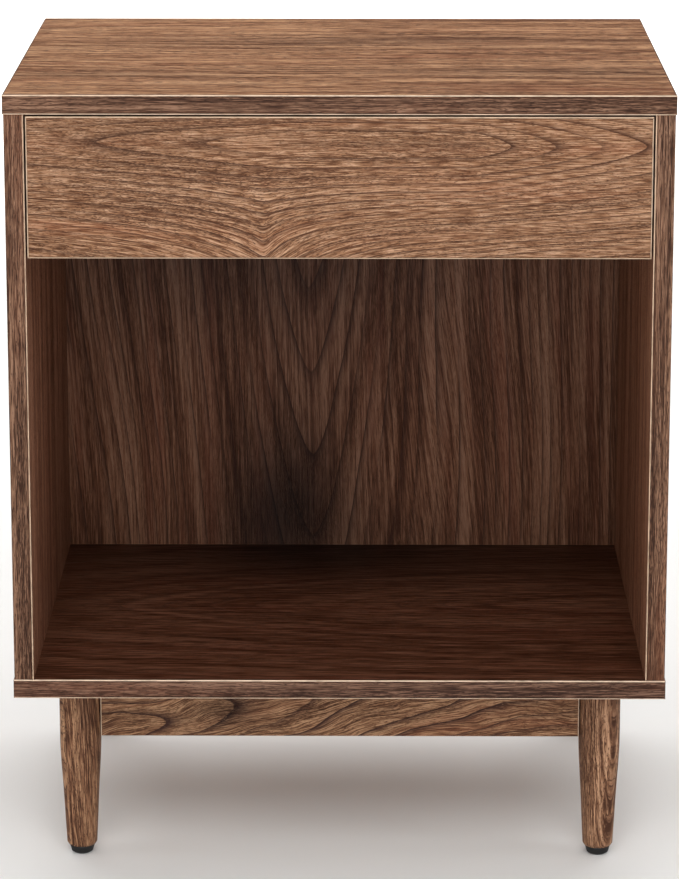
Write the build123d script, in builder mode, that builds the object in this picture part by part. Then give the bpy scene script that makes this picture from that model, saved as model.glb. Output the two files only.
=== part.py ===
from build123d import *

import os

# Bedside cabinet: one drawer on telescopic ball slides over an open bay, on four turned legs.
# Millimetres. +Z is up, the front faces -Y, and the origin is on the floor under the middle of the cabinet.

os.makedirs("parts", exist_ok=True)

# driving sizes
width = 508
depth = 400
height = 620
board = 15  # thickness of the case panels, the aprons and the drawer front
leg_zone = 144  # floor to the underside of the bottom panel
side_inset = 0.8  # the side panels stand this far inside the ends of the top
band = 1.0  # thickness of the edge banding
arris = 0.8  # bevel trimmed along the edges of the banding

back_board = 5
back_setback = 20  # rear edge of the case to the front face of the back panel
back_tongue = 5.5  # how far the back panel reaches into its grooves
groove_depth = 6
groove_gap = 0.2  # a groove is this much wider than the sheet in it

leg_setback = 48  # leg axis to the front, rear and end of the case
leg_top_r = 16.4
leg_middle_r = 14.6  # at leg_middle_z
leg_middle_z = 60
leg_foot_r = 11.9  # just above the foot's bevel
foot_bevel = 2
foot_r = 10.6
glide_height = 7
glide_r = 9.8
glide_sole_r = 6.6
glide_shoulder_r = 8.6
apron_height = 44.5

drawer_gap = 1.5  # shadow gap round the drawer front
drawer_front_height = 109
drawer_board = 12
drawer_lip = 17.5  # the drawer front hangs this far below the drawer box
drawer_box_height = 85
drawer_box_depth = 350
drawer_bottom_board = 4
drawer_bottom_rise = 10  # underside of the drawer bottom above the box's lower edge
drawer_back_drop = 7  # the drawer back is this much lower than the sides
drawer_rounding = 1.5  # of the upper edges of the drawer box

slide_length = 350
slide_space = 12.7  # width of a closed slide
slide_front_gap = 2  # slide's front end to the back of the drawer front
slide_centre = 33  # slide's centreline above the drawer box's lower edge
slide_web = 1.2  # sheet thickness of the slide members
slide_lip = 1.3

cam_setback = 24  # axis of a cam nut to the joint that it closes
cam_thickness = 12
drawer_cam_thickness = 9.5
cam_pocket_gap = 0.2  # a cam's pocket is this much deeper than the cam
bolt_hole_gap = 2  # a bolt's hole goes this far past the cam's axis

# worked out from them
front = -depth / 2
rear = depth / 2
half_width = width / 2
side_outer = half_width - side_inset
side_inner = side_outer - board
side_middle = (side_outer + side_inner) / 2
top_underside = height - board
bottom_top = leg_zone + board
back_face = rear - back_setback
core_middle_y = band / 2  # a core is banded at its front only, so it sits back by this
joint_rows = (front + 60, rear - 70)  # screws and cams along the depth of the case
dowel_rows = (front + 105, rear - 115)

leg_x = half_width - leg_setback
leg_y = depth / 2 - leg_setback
apron_length = 2 * (leg_x - leg_top_r - 0.2)
apron_cam_x = 110
apron_dowel_x = 150

drawer_top = top_underside - drawer_gap
drawer_low = drawer_top - drawer_front_height
drawer_half_width = side_inner - drawer_gap
drawer_back_face = front + board  # rear face of the drawer front
box_low = drawer_low + drawer_lip
box_top = box_low + drawer_box_height
box_half_width = side_inner - slide_space
box_inner = box_half_width - drawer_board
box_rear = drawer_back_face + drawer_box_depth
drawer_bottom_low = box_low + drawer_bottom_rise
drawer_bottom_top = drawer_bottom_low + drawer_bottom_board
slide_z = box_low + slide_centre
slide_rear = drawer_back_face + slide_front_gap + slide_length

hands = (("left", -1), ("right", 1))
ends = (("front", -1), ("rear", 1))


def keep(piece, name):
    """Labels a finished piece and writes its STEP file."""
    piece.label = name
    export_step(piece, f"parts/{name}.step")


# fasteners
dowel_r = 4
dowel_length = 28
small_dowel_r = 3
small_dowel_length = 24
cam_bolt_thread_r = 2.9
cam_bolt_thread_length = 11
cam_bolt_shaft_r = 2.3
cam_bolt_hole_r = 4
cam_head_r = 3.5
cam_r = 7.4
cam_pocket_r = 7.5
cam_mouth = 7.6  # width and height of the opening that takes the bolt's head
cam_mouth_length = 13.4
cam_slot_reach = 4.5  # arms of the cross in the cam's face
cam_slot_width = 1.6
cam_slot_depth = 1.2
screw_head_r = 3.5
screw_shank_r = 1.75
screw_point = 3
confirmat_head_r = 4.8
confirmat_neck_r = 3.5
confirmat_thread_r = 2.6
confirmat_length = 50
confirmat_key_r = 2  # of its hexagonal recess
confirmat_key_depth = 3
dowel_share = 9  # how far a case dowel reaches into the top or the bottom panel
dowel_bevel = 0.8
recess_length = 3.6  # arms of a screw's cross recess
recess_width = 0.8
recess_depth = 1


def cam_bolt():
    """Steel bolt on +Z: its thread goes down from the joint at Z = 0, and its head is up at the cam."""
    with BuildPart() as bolt:
        with BuildSketch(Plane.XZ):
            with BuildLine():
                Polyline(
                    (0, -cam_bolt_thread_length),
                    (cam_bolt_thread_r, -cam_bolt_thread_length + 2),
                    (cam_bolt_thread_r, 0),
                    (cam_head_r, 0),
                    (cam_head_r, 1.2),
                    (cam_bolt_shaft_r, 2.4),
                    (cam_bolt_shaft_r, cam_setback - 4),
                    (cam_head_r, cam_setback - 2.4),
                    (cam_head_r, cam_setback - 0.6),
                    (cam_bolt_shaft_r, cam_setback + 1),
                    (0, cam_setback + 1),
                    close=True,
                )
            make_face()
        revolve(axis=Axis.Z)
    return bolt.part


def cam_nut(thickness, bolt_depth):
    """Zinc cam whose face is at Z = 0 and whose body goes down; its bolt comes in along +X."""
    with BuildPart() as nut:
        with Locations((0, 0, -thickness / 2)):
            Cylinder(cam_r, thickness)
        with Locations((cam_r / 2, 0, -bolt_depth)):
            Box(cam_mouth_length, cam_mouth, cam_mouth, mode=Mode.SUBTRACT)
        with Locations((0, 0, -cam_slot_depth / 2)):
            Box(2 * cam_slot_reach, cam_slot_width, cam_slot_depth, mode=Mode.SUBTRACT)
            Box(cam_slot_width, 2 * cam_slot_reach, cam_slot_depth, mode=Mode.SUBTRACT)
        chamfer(nut.faces().sort_by(Axis.Z)[-1].outer_wire().edges(), 0.3)
    return nut.part


def countersunk_screw(length):
    """Wood screw whose flat head is at Z = 0 and whose point is down."""
    with BuildPart() as screw:
        with BuildSketch(Plane.XZ):
            with BuildLine():
                Polyline(
                    (0, 0),
                    (screw_head_r, 0),
                    (screw_shank_r, screw_shank_r - screw_head_r),
                    (screw_shank_r, screw_point - length),
                    (0, -length),
                    close=True,
                )
            make_face()
        revolve(axis=Axis.Z)
    return screw.part


def crossed(screw):
    """The screw with a cross recess in its head; the plain one is what its hole is cut with."""
    with BuildPart() as recessed:
        add(screw)
        with Locations((0, 0, -recess_depth / 2)):
            Box(recess_length, recess_width, recess_depth, mode=Mode.SUBTRACT)
            Box(recess_width, recess_length, recess_depth, mode=Mode.SUBTRACT)
    return recessed.part


def confirmat_screw():
    """Connecting screw whose flush head is at Z = 0 and whose point is up."""
    with BuildPart() as screw:
        with BuildSketch(Plane.XZ):
            with BuildLine():
                Polyline(
                    (0, 0),
                    (confirmat_head_r, 0),
                    (confirmat_head_r, 1),
                    (confirmat_neck_r, 3),
                    (confirmat_neck_r, board),
                    (confirmat_thread_r, board),
                    (confirmat_thread_r, confirmat_length - screw_point),
                    (0, confirmat_length),
                    close=True,
                )
            make_face()
        revolve(axis=Axis.Z)
    return screw.part


def facing(point, outward, run=(1, 0, 0)):
    """A plane at the point whose +Z is the outward direction and whose +X runs along run."""
    return Plane(origin=point, x_dir=run, z_dir=outward)


def copies(piece, planes):
    """One part that holds a copy of the piece on each plane, as separate solids."""
    with BuildPart() as group:
        with Locations(*planes):
            add(piece)
    return group.part


down, up = (0, 0, -1), (0, 0, 1)
case_bolt = cam_bolt()
case_cam = cam_nut(cam_thickness, board / 2)
drawer_cam = cam_nut(drawer_cam_thickness, drawer_board / 2)
slide_screw = countersunk_screw(11)
back_screw = countersunk_screw(30)
bottom_screw = countersunk_screw(16)
base_screw = confirmat_screw()

# Where each kind of fastener sits: the plane's origin is on the joint, and +Z is as its function says.
top_bolt_planes = [
    facing((hand * side_middle, y, top_underside), down) for _, hand in hands for y in joint_rows
]
top_cam_planes = [
    facing((hand * side_inner, y, top_underside - cam_setback), (-hand, 0, 0), up)
    for _, hand in hands
    for y in joint_rows
]
base_screw_planes = [
    facing((hand * side_middle, y, leg_zone), up) for _, hand in hands for y in joint_rows
]
apron_bolt_planes = [
    facing((hand * apron_cam_x, end * leg_y, leg_zone), down) for _, hand in hands for _, end in ends
]
apron_cam_planes = [
    facing(
        (hand * apron_cam_x, end * (leg_y - board / 2), leg_zone - cam_setback), (0, -end, 0), up
    )
    for _, hand in hands
    for _, end in ends
]
case_dowel_places = [
    (hand * side_middle, y, z)
    for _, hand in hands
    for y in dowel_rows
    for z in (
        top_underside - dowel_length / 2 + dowel_share,
        bottom_top + dowel_length / 2 - dowel_share,
    )
]
apron_dowel_places = [
    (hand * apron_dowel_x, end * leg_y, leg_zone - dowel_length / 2 + dowel_share)
    for _, hand in hands
    for _, end in ends
]
leg_places = [(hand * leg_x, end * leg_y) for _, end in ends for _, hand in hands]

drawer_bolt_z = box_top - 12
drawer_dowel_z = box_low + 36
drawer_side_middle = box_half_width - drawer_board / 2
drawer_bolt_planes = [
    facing((hand * drawer_side_middle, drawer_back_face, drawer_bolt_z), (0, 1, 0))
    for _, hand in hands
]
drawer_cam_planes = [
    facing(
        (hand * box_half_width, drawer_back_face + cam_setback, drawer_bolt_z),
        (hand, 0, 0),
        (0, -1, 0),
    )
    for _, hand in hands
]
drawer_dowel_planes = [
    facing((hand * drawer_side_middle, drawer_back_face, drawer_dowel_z), (0, 1, 0))
    for _, hand in hands
]
back_screw_planes = [
    facing((hand * box_half_width, box_rear - drawer_board / 2, z), (hand, 0, 0), (0, 1, 0))
    for _, hand in hands
    for z in (box_low + 28, box_low + 64)
]
bottom_screw_planes = [
    facing((x, box_rear - drawer_board / 2, drawer_bottom_low), down) for x in (-120, 0, 120)
]
cabinet_screw_planes = [
    facing((hand * (side_inner - slide_web), y, slide_z), (-hand, 0, 0), (0, 1, 0))
    for _, hand in hands
    for y in (slide_rear - ahead for ahead in (327, 177, 27))
]
drawer_screw_planes = [
    facing((hand * (box_half_width + slide_web), y, slide_z), (hand, 0, 0), (0, 1, 0))
    for _, hand in hands
    for y in (slide_rear - ahead for ahead in (312, 167, 47))
]


# case panels
def flat_panel(low_z):
    """The core of the top or the bottom panel, banded at its front and both ends."""
    with BuildPart() as panel:
        with BuildSketch(Plane.XY.offset(low_z)):
            with Locations((0, core_middle_y)):
                Rectangle(width - 2 * band, depth - band)
        extrude(amount=board)
    return panel.part


def back_groove(plane):
    """A groove across the width for the back panel, cut from the plane along its normal."""
    with BuildPart() as groove:
        with BuildSketch(plane):
            with Locations((0, back_face + (back_board + groove_gap) / 2)):
                Rectangle(2 * (side_inner + groove_depth), back_board + groove_gap)
        extrude(amount=groove_depth)
    return groove.part


with BuildPart() as top_panel:
    add(flat_panel(top_underside))
    add(back_groove(Plane.XY.offset(top_underside)), mode=Mode.SUBTRACT)
    with Locations(*top_bolt_planes):
        Hole(cam_bolt_thread_r, cam_bolt_thread_length)
    with Locations(*[place for place in case_dowel_places if place[2] > leg_zone * 2]):
        Cylinder(dowel_r, dowel_length, mode=Mode.SUBTRACT)
keep(top_panel.part, "top_panel")

insert_r = 6
insert_length = 12
with BuildPart() as bottom_panel:
    add(flat_panel(leg_zone))
    add(
        copies(back_groove(Plane.XY), [Plane.XY.offset(bottom_top - groove_depth)]),
        mode=Mode.SUBTRACT,
    )
    with Locations(*[(*place, leg_zone + insert_length / 2) for place in leg_places]):
        Cylinder(insert_r, insert_length + 0.5, mode=Mode.SUBTRACT)
    with Locations(*apron_bolt_planes):
        Hole(cam_bolt_thread_r, cam_bolt_thread_length)
    with Locations(*case_dowel_places, *apron_dowel_places):
        Cylinder(dowel_r, dowel_length, mode=Mode.SUBTRACT)
    with Locations(*base_screw_planes):
        add(base_screw, mode=Mode.SUBTRACT)
keep(bottom_panel.part, "bottom_panel")


def side_panel(hand):
    """A side panel's core, with its back groove and everything drilled into it."""
    with BuildPart() as panel:
        with BuildSketch(Plane.XY.offset(bottom_top)):
            with Locations((hand * side_middle, core_middle_y)):
                Rectangle(board, depth - band)
        extrude(amount=top_underside - bottom_top)
        with BuildSketch(Plane.XY.offset(bottom_top)):
            with Locations(
                (
                    hand * (side_inner + groove_depth / 2),
                    back_face + (back_board + groove_gap) / 2,
                )
            ):
                Rectangle(groove_depth, back_board + groove_gap)
        extrude(amount=top_underside - bottom_top, mode=Mode.SUBTRACT)
        with Locations(*case_dowel_places):
            Cylinder(dowel_r, dowel_length, mode=Mode.SUBTRACT)
        with Locations(*[facing(p.origin, up) for p in top_bolt_planes]):
            Hole(cam_bolt_hole_r, cam_setback + bolt_hole_gap)
        with Locations(*top_cam_planes):
            Hole(cam_pocket_r, cam_thickness + cam_pocket_gap)
        with Locations(*base_screw_planes):
            add(base_screw, mode=Mode.SUBTRACT)
        with Locations(*cabinet_screw_planes):
            add(slide_screw, mode=Mode.SUBTRACT)
    return panel.part


for side, hand in hands:
    keep(side_panel(hand), f"{side}_side_panel")

with BuildPart() as back_panel:
    with BuildSketch(Plane.XZ.offset(-back_face - back_board)):
        with Locations((0, (bottom_top + top_underside) / 2)):
            Rectangle(
                2 * (side_inner + back_tongue),
                top_underside - bottom_top + 2 * back_tongue,
            )
    extrude(amount=back_board)
keep(back_panel.part, "back_panel")


# edge banding
def front_band(length_x, length_z, middle_x, middle_z):
    """A strip on the front of a panel, with its front edges bevelled."""
    with BuildPart() as strip:
        with BuildSketch(Plane.XZ.offset(-front - band)):
            with Locations((middle_x, middle_z)):
                Rectangle(length_x, length_z)
        extrude(amount=band)
        chamfer(strip.faces().sort_by(Axis.Y)[0].edges(), arris)
    return strip.part


def end_band(hand, low_z):
    """A strip on one end of the top or the bottom panel, behind the front strip."""
    with BuildPart() as strip:
        with BuildSketch(Plane.XY.offset(low_z)):
            with Locations((hand * (half_width - band / 2), core_middle_y)):
                Rectangle(band, depth - band)
        extrude(amount=board)
        outer = strip.faces().sort_by(Axis.X)[0 if hand < 0 else -1]
        chamfer(outer.edges().filter_by(Axis.Y), arris / 2)
    return strip.part


for name, low_z in (("top", top_underside), ("bottom", leg_zone)):
    keep(front_band(width, board, 0, low_z + board / 2), f"{name}_front_edge_band")
    with BuildPart() as end_bands:
        for _, hand in hands:
            add(end_band(hand, low_z))
    keep(end_bands.part, f"{name}_end_edge_bands")

for side, hand in hands:
    keep(
        front_band(
            board,
            top_underside - bottom_top,
            hand * side_middle,
            (top_underside + bottom_top) / 2,
        ),
        f"{side}_side_edge_band",
    )

# case fasteners
with BuildPart() as case_dowels:
    with Locations(*case_dowel_places):
        Cylinder(dowel_r, dowel_length)
    chamfer(case_dowels.edges().filter_by(GeomType.CIRCLE), dowel_bevel)
keep(case_dowels.part, "case_dowels")
keep(copies(case_bolt, [facing(p.origin, down) for p in top_bolt_planes]), "top_cam_bolts")
keep(copies(case_cam, top_cam_planes), "top_cam_nuts")
with BuildPart() as recessed_base_screw:
    add(base_screw)
    with BuildSketch(Plane.XY):
        RegularPolygon(confirmat_key_r, 6)
    extrude(amount=confirmat_key_depth, mode=Mode.SUBTRACT)
keep(copies(recessed_base_screw.part, base_screw_planes), "base_connecting_screws")

# base: legs, glides, aprons
bolt_r = 4
bolt_in_leg = 40
bolt_in_insert = 11
pin_r = 3
pin_length = 14


def leg():
    """A turned leg on Z: straight under the case, then tapering to a rounded foot."""
    with BuildPart() as turned:
        with BuildSketch(Plane.XZ):
            with BuildLine():
                taper = Spline(
                    (leg_top_r, leg_zone - apron_height),
                    (leg_middle_r, leg_middle_z),
                    (leg_foot_r, glide_height + foot_bevel),
                    tangents=((0, -1), (-0.06, -1)),
                )
                Line((leg_top_r, leg_zone), taper @ 0)
                foot = Line(taper @ 1, (foot_r, glide_height))
                Line(foot @ 1, (0, glide_height))
                Line((0, glide_height), (0, leg_zone))
                Line((0, leg_zone), (leg_top_r, leg_zone))
            make_face()
        revolve(axis=Axis.Z)
        with Locations((0, 0, leg_zone)):
            Hole(bolt_r, bolt_in_leg + 1)
        with Locations(facing((0, 0, glide_height), down)):
            Hole(pin_r, pin_length + 1)
    return turned.part


def glide():
    """A black plastic glide with its pin, on Z."""
    with BuildPart() as moulded:
        with BuildSketch(Plane.XZ):
            with BuildLine():
                Polyline(
                    (0, 0),
                    (glide_sole_r, 0),
                    (glide_shoulder_r, 1.4),
                    (glide_r, glide_height - 1.2),
                    (glide_r - 0.4, glide_height),
                    (pin_r, glide_height),
                    (pin_r, glide_height + pin_length),
                    (0, glide_height + pin_length),
                    close=True,
                )
            make_face()
        revolve(axis=Axis.Z)
    return moulded.part


def insert():
    """A threaded insert on Z, up from the joint at Z = 0."""
    with BuildPart() as sleeve:
        with Locations((0, 0, insert_length / 2)):
            Cylinder(insert_r, insert_length)
        with Locations((0, 0, insert_length)):
            Hole(bolt_r, insert_length)
    return sleeve.part


def hanger_bolt():
    """A leg's double-ended bolt on Z, with the joint at Z = 0."""
    with BuildPart() as stud:
        with Locations((0, 0, (bolt_in_insert - bolt_in_leg) / 2)):
            Cylinder(bolt_r, bolt_in_insert + bolt_in_leg)
        chamfer(stud.edges().filter_by(GeomType.CIRCLE), dowel_bevel)
    return stud.part


for end, depth_sign in ends:
    for side, hand in hands:
        place = [Plane.XY.move(Location((hand * leg_x, depth_sign * leg_y, 0)))]
        keep(copies(leg(), place), f"{end}_{side}_leg")
        keep(copies(glide(), place), f"{end}_{side}_glide")
leg_joints = [Plane((*place, leg_zone)) for place in leg_places]
keep(copies(insert(), leg_joints), "leg_threaded_inserts")
keep(copies(hanger_bolt(), leg_joints), "leg_hanger_bolts")


def apron(depth_sign):
    """The rail between two legs, under the bottom panel, with its cam pockets inside."""
    with BuildPart() as rail:
        with BuildSketch(Plane.XY.offset(leg_zone - apron_height)):
            with Locations((0, depth_sign * leg_y)):
                Rectangle(apron_length, board)
        extrude(amount=apron_height)
        outer = rail.faces().sort_by(Axis.Y)[0 if depth_sign < 0 else -1]
        chamfer(outer.edges().filter_by(Axis.Z), arris)
        lower = rail.faces().sort_by(Axis.Z)[0]
        chamfer(lower.edges().filter_by(Axis.X), arris / 2)
        with Locations(*apron_dowel_places):
            Cylinder(dowel_r, dowel_length, mode=Mode.SUBTRACT)
        with Locations(*[facing(p.origin, up) for p in apron_bolt_planes]):
            Hole(cam_bolt_hole_r, cam_setback + bolt_hole_gap)
        with Locations(*apron_cam_planes):
            Hole(cam_pocket_r, cam_thickness + cam_pocket_gap)
    return rail.part


for end, depth_sign in ends:
    keep(apron(depth_sign), f"{end}_apron")
with BuildPart() as apron_dowels:
    with Locations(*apron_dowel_places):
        Cylinder(dowel_r, dowel_length)
    chamfer(apron_dowels.edges().filter_by(GeomType.CIRCLE), dowel_bevel)
keep(apron_dowels.part, "apron_dowels")
keep(copies(case_bolt, apron_bolt_planes), "apron_cam_bolts")
keep(copies(case_cam, apron_cam_planes), "apron_cam_nuts")

# drawer
core_width = 2 * (drawer_half_width - band)
core_height = drawer_front_height - 2 * band
drawer_middle_z = (drawer_top + drawer_low) / 2
bottom_slot = drawer_bottom_board + groove_gap
bottom_slot_z = drawer_bottom_low - groove_gap / 2
side_slot_depth = 5
front_slot_depth = 6

with BuildPart() as drawer_front:
    with BuildSketch(Plane.XZ.offset(-drawer_back_face)):
        with Locations((0, drawer_middle_z)):
            Rectangle(core_width, core_height)
    extrude(amount=board)
    with BuildSketch(Plane.XZ.offset(-drawer_back_face)):
        with Locations((0, bottom_slot_z + bottom_slot / 2)):
            Rectangle(2 * (box_inner + side_slot_depth), bottom_slot)
    extrude(amount=front_slot_depth, mode=Mode.SUBTRACT)
    with Locations(*drawer_bolt_planes):
        Hole(cam_bolt_thread_r, cam_bolt_thread_length)
    with Locations(*drawer_dowel_planes):
        Hole(small_dowel_r, small_dowel_length / 2)
keep(drawer_front.part, "drawer_front")


def drawer_band(size_x, size_z, middle_x, middle_z, outward):
    """A strip on one edge of the drawer front, bevelled along its outer front edge."""
    with BuildPart() as strip:
        with BuildSketch(Plane.XZ.offset(-drawer_back_face)):
            with Locations((middle_x, middle_z)):
                Rectangle(size_x, size_z)
        extrude(amount=board)
        axis = Axis((0, 0, 0), outward)
        outer_face = strip.faces().sort_by(axis)[-1]
        chamfer(outer_face.edges().sort_by(Axis.Y)[0], arris)
    return strip.part


with BuildPart() as drawer_bands:
    for sign in (-1, 1):
        add(
            drawer_band(
                core_width + 2 * band,
                band,
                0,
                drawer_middle_z + sign * (core_height + band) / 2,
                (0, 0, sign),
            )
        )
        add(
            drawer_band(
                band,
                core_height,
                sign * (core_width + band) / 2,
                drawer_middle_z,
                (sign, 0, 0),
            )
        )
keep(drawer_bands.part, "drawer_front_edge_bands")


def drawer_side(hand):
    """A drawer side with its slot for the bottom and everything drilled into it."""
    with BuildPart() as panel:
        with BuildSketch(Plane.XZ.offset(-box_rear)):
            with Locations((hand * drawer_side_middle, (box_low + box_top) / 2)):
                Rectangle(drawer_board, drawer_box_height)
        extrude(amount=drawer_box_depth)
        top_edges = panel.faces().sort_by(Axis.Z)[-1].edges().filter_by(Axis.Y)
        fillet(top_edges, drawer_rounding)
        with BuildSketch(Plane.XZ.offset(-box_rear)):
            with Locations(
                (hand * (box_inner + side_slot_depth / 2), bottom_slot_z + bottom_slot / 2)
            ):
                Rectangle(side_slot_depth, bottom_slot)
        extrude(amount=drawer_box_depth, mode=Mode.SUBTRACT)
        with Locations(*[facing(p.origin, (0, -1, 0)) for p in drawer_bolt_planes]):
            Hole(cam_bolt_hole_r, cam_setback + bolt_hole_gap)
        with Locations(*drawer_cam_planes):
            Hole(cam_pocket_r, drawer_cam_thickness + cam_pocket_gap)
        with Locations(*[facing(p.origin, (0, -1, 0)) for p in drawer_dowel_planes]):
            Hole(small_dowel_r, small_dowel_length / 2)
        with Locations(*back_screw_planes):
            add(back_screw, mode=Mode.SUBTRACT)
        with Locations(*drawer_screw_planes):
            add(slide_screw, mode=Mode.SUBTRACT)
    return panel.part


for side, hand in hands:
    keep(drawer_side(hand), f"drawer_{side}_side")

drawer_back_low = drawer_bottom_top + groove_gap / 2
drawer_back_high = box_top - drawer_back_drop
with BuildPart() as drawer_back:
    with BuildSketch(Plane.XZ.offset(-box_rear)):
        with Locations((0, (drawer_back_low + drawer_back_high) / 2)):
            Rectangle(2 * box_inner, drawer_back_high - drawer_back_low)
    extrude(amount=drawer_board)
    fillet(drawer_back.faces().sort_by(Axis.Z)[-1].edges().filter_by(Axis.X), drawer_rounding)
    with Locations(*back_screw_planes):
        add(back_screw, mode=Mode.SUBTRACT)
    with Locations(*bottom_screw_planes):
        add(bottom_screw, mode=Mode.SUBTRACT)
keep(drawer_back.part, "drawer_back")

slot_end_gap = 0.5  # the bottom stops this far short of the ends of its slots
drawer_bottom_front = drawer_back_face - front_slot_depth + slot_end_gap
with BuildPart() as drawer_bottom:
    with BuildSketch(Plane.XY.offset(drawer_bottom_low)):
        with Locations((0, (drawer_bottom_front + box_rear) / 2)):
            Rectangle(2 * (box_inner + side_slot_depth - slot_end_gap), box_rear - drawer_bottom_front)
    extrude(amount=drawer_bottom_board)
    with Locations(*bottom_screw_planes):
        add(bottom_screw, mode=Mode.SUBTRACT)
keep(drawer_bottom.part, "drawer_bottom")

with BuildPart() as drawer_dowels:
    with Locations(*drawer_dowel_planes):
        Cylinder(small_dowel_r, small_dowel_length)
    chamfer(drawer_dowels.edges().filter_by(GeomType.CIRCLE), dowel_bevel)
keep(drawer_dowels.part, "drawer_front_dowels")
keep(
    copies(case_bolt, [facing(p.origin, (0, 1, 0)) for p in drawer_bolt_planes]),
    "drawer_cam_bolts",
)
keep(copies(drawer_cam, drawer_cam_planes), "drawer_cam_nuts")
keep(copies(crossed(back_screw), back_screw_planes), "drawer_back_screws")
keep(copies(crossed(bottom_screw), bottom_screw_planes), "drawer_bottom_screws")

# telescopic ball slides
ball_r = 1.75
race_r = ball_r + 0.1
outer_ball = (5.4, 19.8)  # from the side panel, and from the slide's centreline
inner_ball = (8.0, 15.6)
balls_in_row = 8
cage_length = 120
cage_rear = slide_rear - 137
cage_strip = 0.5
cage_arm = 0.8

# Each member and cage is (web or strip, tip of its flanges or arms), both from the side panel.
cabinet_member_reach = (0, 11.2)
middle_member_reach = (2.2, 10.9)
drawer_member_reach = (slide_space, 5.0)
outer_cage_reach = (1.45, 8.6)
inner_cage_reach = (3.7, 9.3)
cabinet_half_height = 22.5
middle_half_height = 18.3
drawer_half_height = 14.1


def channel(hand, reach, half_height, lip, races):
    """A slide member: a web, a flange at its top and bottom, lips at the flange tips, and ball races."""
    web, tip = reach
    inward = 1 if tip > web else -1
    with BuildPart() as member:
        with BuildSketch(Plane.XZ.offset(-slide_rear)):
            with Locations((hand * (side_inner - web - inward * slide_web / 2), slide_z)):
                Rectangle(slide_web, 2 * half_height)
            for up_sign in (-1, 1):
                with Locations(
                    (
                        hand * (side_inner - (web + tip) / 2),
                        slide_z + up_sign * (half_height - slide_web / 2),
                    )
                ):
                    Rectangle(abs(tip - web), slide_web)
                if lip:
                    with Locations(
                        (
                            hand * (side_inner - tip + inward * slide_web / 2),
                            slide_z + up_sign * (half_height - (slide_web + lip) / 2),
                        )
                    ):
                        Rectangle(slide_web, slide_web + lip)
                for across, above in races:
                    with Locations((hand * (side_inner - across), slide_z + up_sign * above)):
                        Circle(race_r, mode=Mode.SUBTRACT)
        extrude(amount=slide_length)
    return member.part


def cage_y(index):
    """Where a row's ball sits along the depth."""
    pitch = cage_length / balls_in_row
    return cage_rear - pitch * (index + 0.5)


def ball_places(hand, ball):
    """The centres of both rows of balls round one slide member."""
    across, above = ball
    return [
        (hand * (side_inner - across), cage_y(index), slide_z + up_sign * above)
        for up_sign in (-1, 1)
        for index in range(balls_in_row)
    ]


def cage(hand, reach, ball):
    """A ball retainer: a thin strip behind the balls with an arm over each row."""
    strip_at, tip = reach
    half_height = ball[1] + cage_arm / 2
    with BuildPart() as retainer:
        with BuildSketch(Plane.XZ.offset(-cage_rear)):
            with Locations((hand * (side_inner - strip_at - cage_strip / 2), slide_z)):
                Rectangle(cage_strip, 2 * half_height)
            for up_sign in (-1, 1):
                with Locations(
                    (
                        hand * (side_inner - (strip_at + tip) / 2),
                        slide_z + up_sign * (half_height - cage_arm / 2),
                    )
                ):
                    Rectangle(tip - strip_at, cage_arm)
        extrude(amount=cage_length)
        with Locations(*ball_places(hand, ball)):
            Cylinder(race_r, 2 * cage_arm, mode=Mode.SUBTRACT)
    return retainer.part


def balls(hand, ball):
    """Both rows of balls of one retainer."""
    with BuildPart() as rows:
        with Locations(*ball_places(hand, ball)):
            Sphere(ball_r)
    return rows.part


for side, hand in hands:
    with BuildPart() as cabinet_member:
        add(channel(hand, cabinet_member_reach, cabinet_half_height, slide_lip, [outer_ball]))
        with Locations(*cabinet_screw_planes):
            add(slide_screw, mode=Mode.SUBTRACT)
    keep(cabinet_member.part, f"{side}_slide_cabinet_member")
    keep(
        channel(hand, middle_member_reach, middle_half_height, slide_lip, [outer_ball, inner_ball]),
        f"{side}_slide_middle_member",
    )
    with BuildPart() as drawer_member:
        add(channel(hand, drawer_member_reach, drawer_half_height, 0, [inner_ball]))
        with Locations(*drawer_screw_planes):
            add(slide_screw, mode=Mode.SUBTRACT)
    keep(drawer_member.part, f"{side}_slide_drawer_member")
    keep(cage(hand, outer_cage_reach, outer_ball), f"{side}_slide_outer_cage")
    keep(cage(hand, inner_cage_reach, inner_ball), f"{side}_slide_inner_cage")
    keep(balls(hand, outer_ball), f"{side}_slide_outer_balls")
    keep(balls(hand, inner_ball), f"{side}_slide_inner_balls")
keep(copies(crossed(slide_screw), cabinet_screw_planes), "cabinet_member_screws")
keep(copies(crossed(slide_screw), drawer_screw_planes), "drawer_member_screws")
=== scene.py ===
import math

import bpy
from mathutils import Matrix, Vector


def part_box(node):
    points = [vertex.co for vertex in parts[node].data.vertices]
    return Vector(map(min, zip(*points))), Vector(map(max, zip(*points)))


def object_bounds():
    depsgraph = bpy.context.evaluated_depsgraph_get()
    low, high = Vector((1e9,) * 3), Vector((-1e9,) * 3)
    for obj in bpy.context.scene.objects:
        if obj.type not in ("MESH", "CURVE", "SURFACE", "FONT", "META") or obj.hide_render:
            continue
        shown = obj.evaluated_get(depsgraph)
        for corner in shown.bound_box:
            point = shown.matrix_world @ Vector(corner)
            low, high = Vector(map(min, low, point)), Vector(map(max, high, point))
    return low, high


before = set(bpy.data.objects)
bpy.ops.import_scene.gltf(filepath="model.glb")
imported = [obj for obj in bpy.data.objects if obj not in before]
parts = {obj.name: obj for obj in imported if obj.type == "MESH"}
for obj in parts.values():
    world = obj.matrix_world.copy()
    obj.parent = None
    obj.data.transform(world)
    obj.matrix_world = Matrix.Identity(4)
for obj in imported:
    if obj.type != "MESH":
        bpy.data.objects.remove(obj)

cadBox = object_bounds()
scene = bpy.context.scene
caseLow, caseHigh = cadBox
caseMiddle = (caseLow + caseHigh) / 2


# node helpers

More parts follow.
